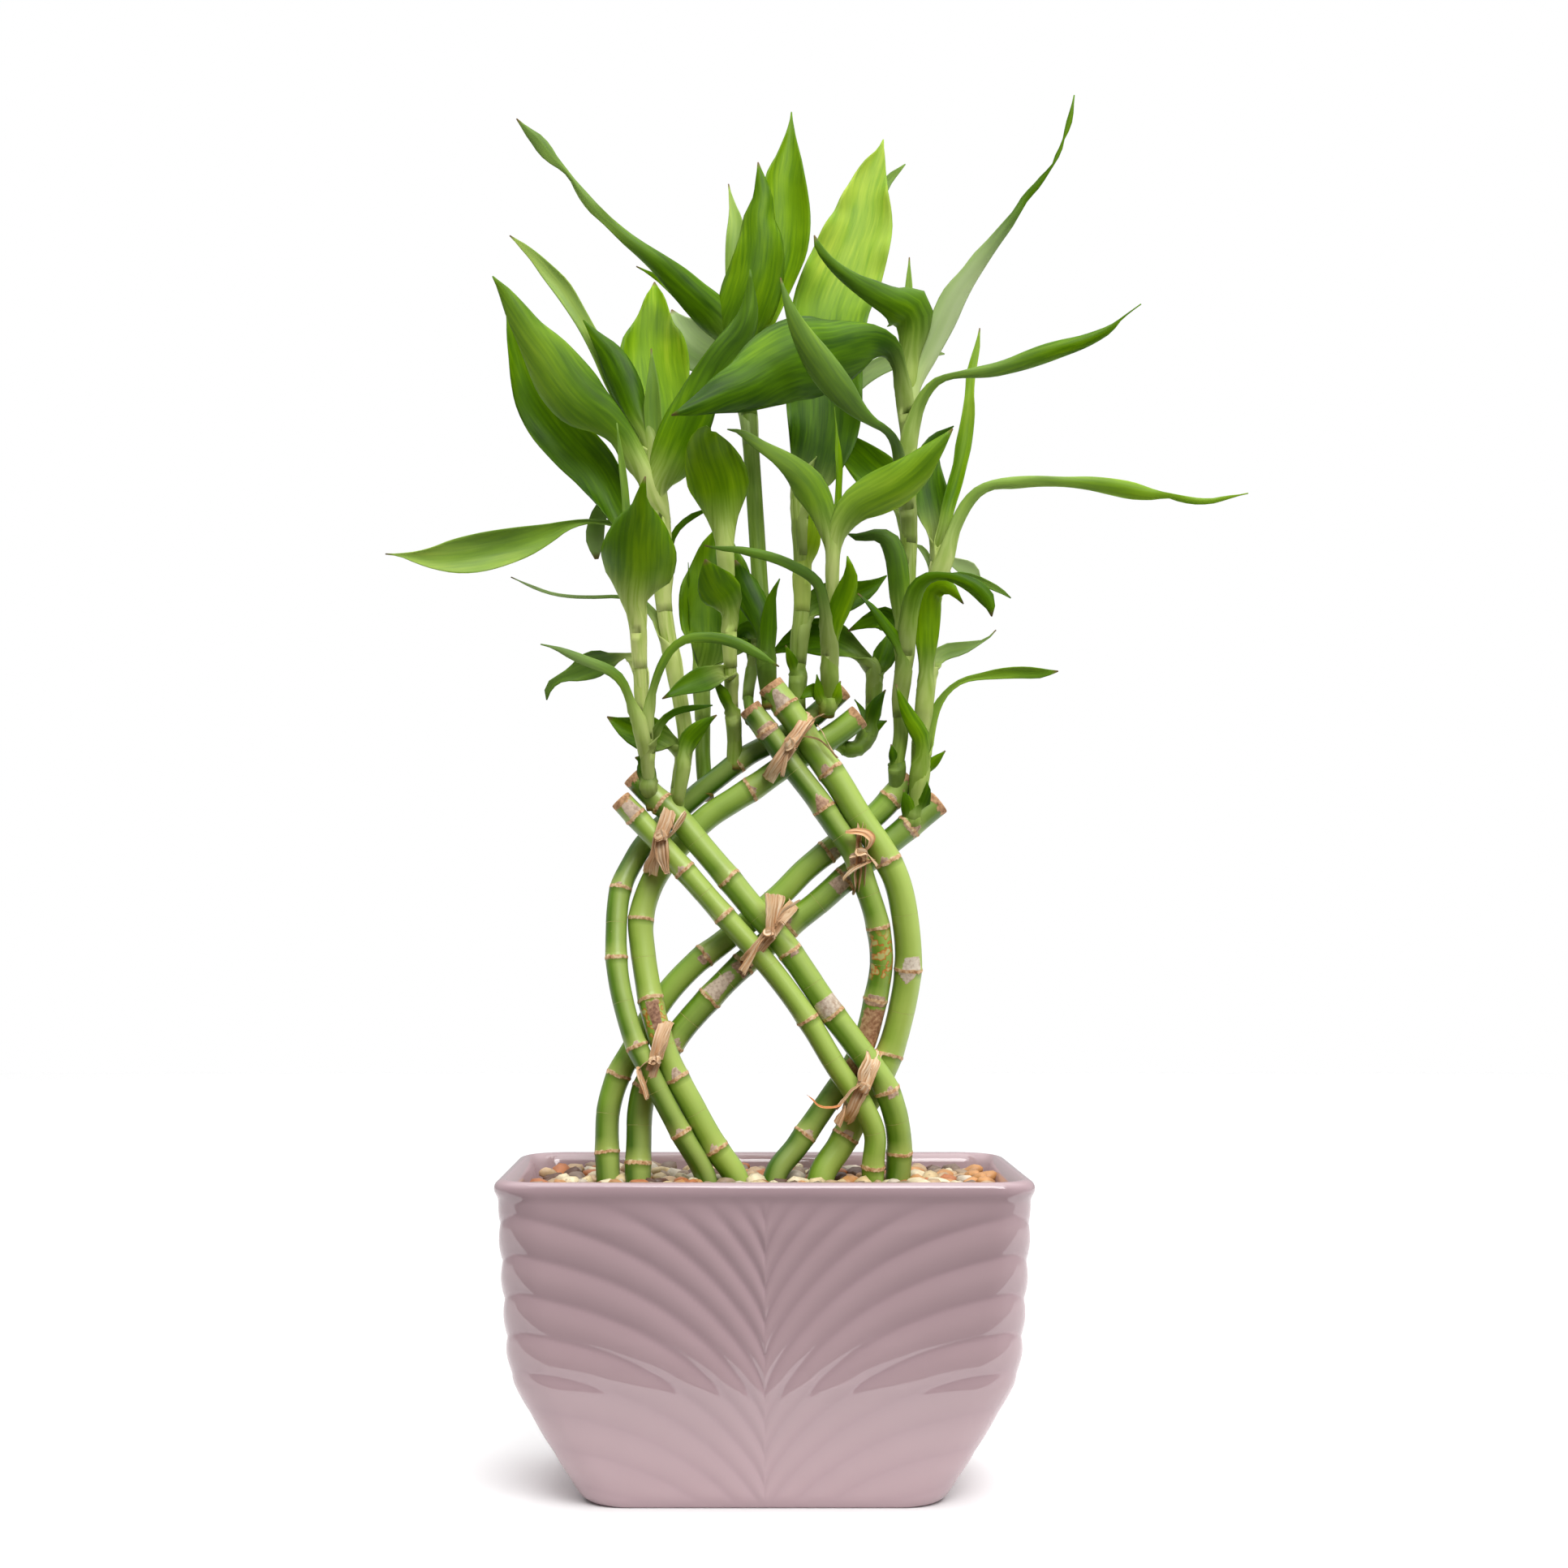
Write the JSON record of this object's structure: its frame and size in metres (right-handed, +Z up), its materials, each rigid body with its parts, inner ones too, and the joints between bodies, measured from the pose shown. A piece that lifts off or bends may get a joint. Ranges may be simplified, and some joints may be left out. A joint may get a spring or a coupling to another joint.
{
  "type": "potted lucky bamboo",
  "caption": "Lucky bamboo with canes woven and tied into an open trellis, leafy shoots above, in a ribbed glazed ceramic pot of pea gravel.",
  "frame": {"origin": "on the pot's flat underside, 1 mm right of its middle", "axes": "+Z up along the canes; -Y towards the front of the trellis; the trellis lies in the plane y = 0"},
  "size_m": [0.262, 0.0905, 0.4298],
  "materials": {
    "glazed_pot": "glossy dusty mauve-pink glaze with fine dark specks",
    "pea_gravel": "rounded pea gravel in tan, cream, grey and brown",
    "cane": "smooth satin green cane with pale brown rings",
    "raffia": "dry matt tan raffia",
    "leafy_shoot": "satin green blades with fine lengthwise veins on pale green stems"
  },
  "bodies": {
    "root": {"pot": "glazed_pot", "gravel": "pea_gravel", "cane_left_outer": "cane", "cane_left_inner": "cane", "cane_right_inner": "cane", "cane_right_outer": "cane", "cane_rising_right_upper": "cane", "cane_rising_right_lower": "cane", "cane_rising_left_lower": "cane", "cane_rising_left_upper": "cane", "tie_top": "raffia", "tie_upper_left": "raffia", "tie_upper_right": "raffia", "tie_centre": "raffia", "tie_lower_left": "raffia", "tie_lower_right": "raffia", "shoot_left_front": "leafy_shoot", "shoot_left_back": "leafy_shoot", "shoot_mid_left_back": "leafy_shoot", "shoot_mid_left": "leafy_shoot", "shoot_centre_back": "leafy_shoot", "shoot_centre_tall": "leafy_shoot", "shoot_mid_giant": "leafy_shoot", "shoot_mid_right": "leafy_shoot", "shoot_back_hook": "leafy_shoot", "shoot_right_inner": "leafy_shoot", "shoot_right_outer": "leafy_shoot"}
  },
  "joints": []
}
